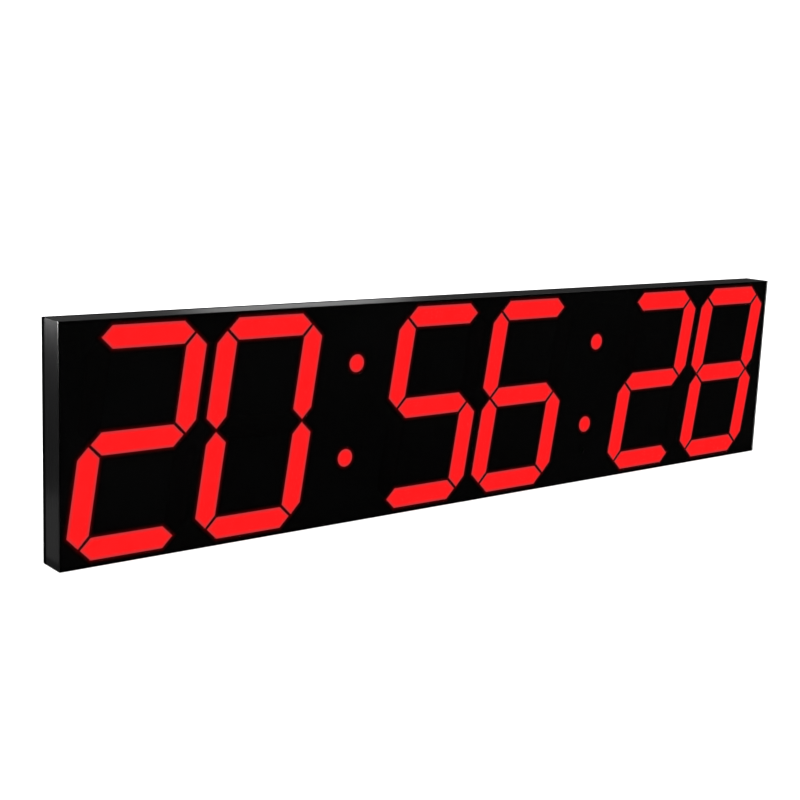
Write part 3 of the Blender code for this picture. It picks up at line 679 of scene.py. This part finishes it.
def make_front_sheet(looks):
    """The smoked sheet, with polished round edges that show its own thickness."""
    low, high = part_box("front_panel")
    bm = bmesh.new()
    box_piece(bm, low, high, SHEET_ROUND)
    for face in bm.faces:
        face.normal_update()
        is_flat = abs(face.normal.y) > 0.9
        face.material_index = 0 if is_flat else 1
    piece = new_piece("front_sheet", bm, [looks["sheet"], looks["sheet_edge"]])
    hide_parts("front_panel")


# ---------------------------------------------------------------- frame


def make_rails(looks):
    """The four rails, with softened edges and a matt black band along their rear edge."""
    for name in ("top_rail", "bottom_rail", "left_rail", "right_rail"):
        look = looks["long_rail"] if name in ("top_rail", "bottom_rail") else looks["short_rail"]
        bm = bmesh.new()
        bm.from_mesh(frame["nodes"][name].data)
        rear = CAD_HIGH.y - REAR_EDGE_WIDTH
        everything = bm.verts[:] + bm.edges[:] + bm.faces[:]
        bmesh.ops.bisect_plane(bm, geom=everything, dist=1e-7, plane_co=(0, rear, 0), plane_no=(0, 1, 0))
        for face in bm.faces:
            face.material_index = 1 if face.calc_center_median().y > rear else 0
        piece = new_piece(f"{name}_finish", bm, [look, looks["rear_edge"]])
        soften(RAIL_ROUND, piece)
        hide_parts(name)


# ---------------------------------------------------------------- screws and controls


def cross(reach, width, turn):
    """A four-armed outline for a driver's cross recess, turned by an angle."""
    half = width / 2
    arm = [(reach, -half), (reach, half), (half, half)]
    outline = []
    for quarter in range(4):
        angle = turn + quarter * math.pi / 2
        c, s = math.cos(angle), math.sin(angle)
        outline += [(c * u - s * v, s * u + c * v) for u, v in arm]
    return outline


def polar(outline):
    """The points where evenly spaced rays from the centre leave an outline."""
    parallel, slack = 1e-9, 1e-6
    points = []
    for step in range(SCREW_SIDES):
        angle = 2 * math.pi * step / SCREW_SIDES
        ray = Vector((math.cos(angle), math.sin(angle)))
        reach = 0.0
        for k in range(len(outline)):
            a, b = Vector(outline[k - 1]), Vector(outline[k])
            edge = b - a
            bottom = ray.x * edge.y - ray.y * edge.x
            if abs(bottom) < parallel:
                continue
            along = (a.x * edge.y - a.y * edge.x) / bottom
            across = (a.x * ray.y - a.y * ray.x) / bottom
            if along > 0 and -slack <= across <= 1 + slack:
                reach = max(reach, along)
        points.append((ray.x * reach, ray.y * reach))
    return points


def make_screws(looks):
    """Countersunk cover screws, each with a tapered cross recess turned its own way."""
    for number, name in enumerate(named("cover_screw"), start=1):
        low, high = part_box(name)
        head_r = (high.x - low.x) / 2
        turn = number * SCREW_TURN
        disc = circle(0.0, 0.0, 1.0, SCREW_SIDES)
        shank = scaled(disc, SHANK_R)
        tip = low.y - high.y
        loops = [
            (polar(cross(*RECESS_FLOOR, turn)), -RECESS_DEPTH),
            (polar(cross(*RECESS_MOUTH, turn)), -MOUTH_DEPTH),
            (polar(cross(*RECESS_EDGE, turn)), 0.0),
            (scaled(disc, HEAD_FLAT), 0.0),
            (disc, -HEAD_ROUND),
            (disc, -HEAD_RIM),
            (shank, -HEAD_RIM - HEAD_CONE * (1 - SHANK_R) * head_r),
            (shank, tip + TIP_ROUND),
            (scaled(disc, TIP_R), tip),
        ]
        bm = bmesh.new()
        rings = [ring(bm, scaled(outline, head_r), high.y + depth) for outline, depth in loops]
        for inner, outer in zip(rings, rings[1:]):
            band(bm, inner, outer)
        for end in (rings[0], rings[-1]):
            hub = bm.verts.new((0.0, end[0].co.y, 0.0))
            for k in range(SCREW_SIDES):
                bm.faces.new((end[k - 1], end[k], hub))
        centre = Vector(((low.x + high.x) / 2, 0.0, (low.z + high.z) / 2))
        bmesh.ops.translate(bm, verts=bm.verts[:], vec=centre)
        piece = new_piece(f"{name}_cross", bm, [looks["screw"]])
        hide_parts(name)


def inlay(bm, outer, inner=None):
    """A flat mark, a little proud of y = 0 and sunk behind it. An inner outline makes it a ring."""
    outer_top, outer_base = ring(bm, outer, -MARK_RISE), ring(bm, outer, MARK_SINK)
    band(bm, outer_top, outer_base)
    if inner is None:
        bm.faces.new(outer_top)
        bm.faces.new(outer_base)
        return
    inner_top, inner_base = ring(bm, inner, -MARK_RISE), ring(bm, inner, MARK_SINK)
    band(bm, inner_top, outer_top)
    band(bm, inner_base, outer_base)
    band(bm, inner_top, inner_base)


def make_switch_marks(looks):
    """White on and off marks inlaid in the rocker: a stroke on one half and a ring on the other."""
    hinge = next(joint for joint in frame["joints"] if joint["name"] == "rocker_tilt")
    pivot = Vector(hinge["pos_m"])
    tilt = math.radians(hinge["range_deg"][1]) / 2
    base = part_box("rocker_paddle")[0].z
    middle = (base - pivot.z + 2 * PADDLE_HALF_L * math.sin(tilt)) / math.cos(tilt)
    place = Matrix.Translation(pivot) @ Matrix.Rotation(tilt, 4, "Y")
    x = MARK_PLACE * PADDLE_HALF_L
    z = middle - x * math.tan(tilt)
    stroke = [(i * STROKE_HALF_W, j * STROKE_HALF_H) for i, j in CORNERS]
    for name, side in (("on", 1), ("off", -1)):
        bm = bmesh.new()
        if name == "on":
            inlay(bm, stroke)
        else:
            inlay(bm, circle(0, 0, RING_OUTER, MARK_SIDES), circle(0, 0, RING_INNER, MARK_SIDES))
        # the mark's depth axis turns to point out of the sloping face
        lay = Matrix.Rotation(side * tilt, 4, "Y") @ Matrix.Rotation(math.radians(90), 4, "X")
        spot = Matrix.Translation((side * x, 0, z))
        bmesh.ops.transform(bm, matrix=place @ spot @ lay, verts=bm.verts[:])
        new_piece(f"rocker_mark_{name}", bm, [looks["mark"]], body="rocker")


def make_jack_pin(looks):
    """The bright centre pin inside the power jack, with a rounded end."""
    low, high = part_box("dc_jack")
    x, y = (low.x + high.x) / 2, (low.y + high.y) / 2
    bm = bmesh.new()
    rings = []
    for radius, z in PIN_PROFILE:
        rings.append([bm.verts.new((u, v, z)) for u, v in circle(x, y, radius, PIN_SIDES)])
    for lower, upper in zip(rings, rings[1:]):
        band(bm, lower, upper)
    bm.faces.new(rings[0])
    bm.faces.new(rings[-1])
    new_piece("jack_pin", bm, [looks["screw"]])


# ---------------------------------------------------------------- stage


def make_camera():
    """The camera stands left of the clock and a little above it, rolled slightly."""
    azimuth = math.radians(-39.10)
    elevation = math.radians(10.97)
    roll = math.radians(2.35)
    distance = 1.0498
    aim_offset = Vector((-0.0696, 0.0, 0.0040))
    aim = (CAD_LOW + CAD_HIGH) / 2 + aim_offset
    back = Vector((
        math.sin(azimuth) * math.cos(elevation),
        -math.cos(azimuth) * math.cos(elevation),
        math.sin(elevation),
    ))
    right = Vector((math.cos(azimuth), math.sin(azimuth), 0.0))
    up = back.cross(right)
    rolled_right = math.cos(roll) * right + math.sin(roll) * up
    rolled_up = math.cos(roll) * up - math.sin(roll) * right
    data = bpy.data.cameras.new("camera")
    data.lens = 63.0
    data.sensor_width = 36.0
    data.clip_start = 0.05
    camera = bpy.data.objects.new("camera", data)
    turn = Matrix((rolled_right, rolled_up, back)).transposed().to_4x4()
    camera.matrix_world = Matrix.Translation(aim + back * distance) @ turn
    bpy.context.scene.collection.objects.link(camera)
    bpy.context.scene.camera = camera


def area_light(name, place, target, size, energy, spread=180.0):
    """A soft box that faces its target and isn't seen itself."""
    data = bpy.data.lights.new(name, "AREA")
    data.shape = "RECTANGLE"
    data.size, data.size_y = size
    data.energy = energy
    data.spread = math.radians(spread)
    light = bpy.data.objects.new(name, data)
    light.visible_camera = False
    direction = Vector(place) - Vector(target)
    turn = direction.to_track_quat("Z", "Y").to_matrix().to_4x4()
    light.matrix_world = Matrix.Translation(Vector(place)) @ turn
    bpy.context.scene.collection.objects.link(light)


def make_floor():
    """A wide, pale, matt floor. Reflections don't see it."""
    bm = bmesh.new()
    bmesh.ops.create_grid(bm, x_segments=1, y_segments=1, size=30.0)
    mesh = bpy.data.meshes.new("floor")
    bm.to_mesh(mesh)
    bm.free()
    n = Nodes("floor_white")
    n.set(Roughness=0.9, Specular_IOR_Level=0.1)
    n.colour(n.ramp(n.noise(2.0, 2.0), 0.90, 0.91))
    mesh.materials.append(n.material)
    floor = bpy.data.objects.new("floor", mesh)
    floor.location.z = CAD_LOW.z
    floor.visible_glossy = False
    bpy.context.scene.collection.objects.link(floor)


def make_lights():
    """Three soft boxes round the clock, and three small lights for its left end and top edge."""
    middle = (0, 0, 0.05)
    area_light("key_light", (-1.0, -1.4, 3.0), middle, (2.0, 2.0), 75)
    area_light("fill_light", (2.2, -1.0, 2.4), middle, (1.6, 1.6), 30)
    area_light("back_light", (-0.7, 2.4, 2.6), middle, (1.6, 1.6), 45)

    left, right, top = CAD_LOW.x, CAD_HIGH.x, CAD_HIGH.z
    area_light(
        "end_light",
        place=(left - 0.075, 0.12, top + 0.024),
        target=(left, 0.0, top - 0.002),
        size=(0.05, 0.05),
        energy=0.09,
        spread=50,
    )
    area_light(
        "floor_glow",
        place=(left - 0.05, 0.08, CAD_LOW.z + 0.002),
        target=(left - 0.05, 0.08, 1.0),
        size=(0.09, 0.16),
        energy=0.0055,
    )
    area_light(
        "top_light",
        place=(right + 0.35, 1.25, top + 0.20),
        target=(-0.16, 0.0, top),
        size=(0.36, 0.16),
        energy=0.50,
    )


def make_world():
    """A white room. Reflections see it much dimmer than the camera does."""
    world = bpy.data.worlds.new("studio")
    world.use_nodes = True
    tree = world.node_tree
    background = tree.nodes["Background"]
    background.inputs["Color"].default_value = (1, 1, 1, 1)
    path = tree.nodes.new("ShaderNodeLightPath")
    strength = tree.nodes.new("ShaderNodeMapRange")
    seen, reflected = 1.3, 0.07
    strength.inputs["To Min"].default_value = seen
    strength.inputs["To Max"].default_value = reflected
    tree.links.new(path.outputs["Is Glossy Ray"], strength.inputs["Value"])
    tree.links.new(strength.outputs["Result"], background.inputs["Strength"])
    bpy.context.scene.world = world


# ---------------------------------------------------------------- the clock's own nodes


def repaint(look, *nodes):
    """Gives CAD nodes a better material."""
    for name in nodes:
        node = frame["nodes"][name]
        node.data.materials.clear()
        node.data.materials.append(look)


def named(*starts):
    return sorted(name for name in frame["nodes"] if name.startswith(starts))


def main():
    looks = {
        "lit": lit_red(),
        "unlit": unlit_red_painted_shade(),
        "rim": painted_glow_rim(),
        "sheet": smoked_acrylic(),
        "sheet_edge": acrylic_edge(),
        "long_rail": anodised("anodised_long", "x", 0.36),
        "short_rail": anodised("anodised_short", "z", 0.22),
        "rear_edge": rear_edge_black(),
        "screw": zinc(),
        "mark": mark_white(),
    }
    make_digits(looks)
    make_colons(looks)
    make_front_sheet(looks)
    repaint(mask_black(), "segment_mask")
    make_rails(looks)
    repaint(powder_coat(), "rear_cover")
    cad = frame["nodes"]
    soften(COVER_ROUND, cad["rear_cover"], cad["rocker_housing"], cad["dc_jack"], cad["buzzer"])
    soften(BUTTON_ROUND, *(cad[name] for name in named("button_1", "button_2", "button_3", "button_4")))
    make_screws(looks)
    make_switch_marks(looks)
    make_jack_pin(looks)
    repaint(looks["screw"], "coin_cell", *named("corner_bracket"))
    repaint(white_moulding(), *named("digit_reflector", "colon_reflector"))
    repaint(circuit_board(), "key_board", "control_board", *named("led_board", "colon_board"))
    repaint(moulded_black("switch_black"), *named("button", "rocker"), "dc_jack", "buzzer")
    repaint(moulded_black("chip_black", 0.35), "processor", "coin_cell_holder", "ir_receiver")
    repaint(cable_grey(), *named("ribbon"))
    make_camera()
    make_floor()
    make_world()
    make_lights()
    bpy.context.scene.view_settings.view_transform = "Standard"


main()
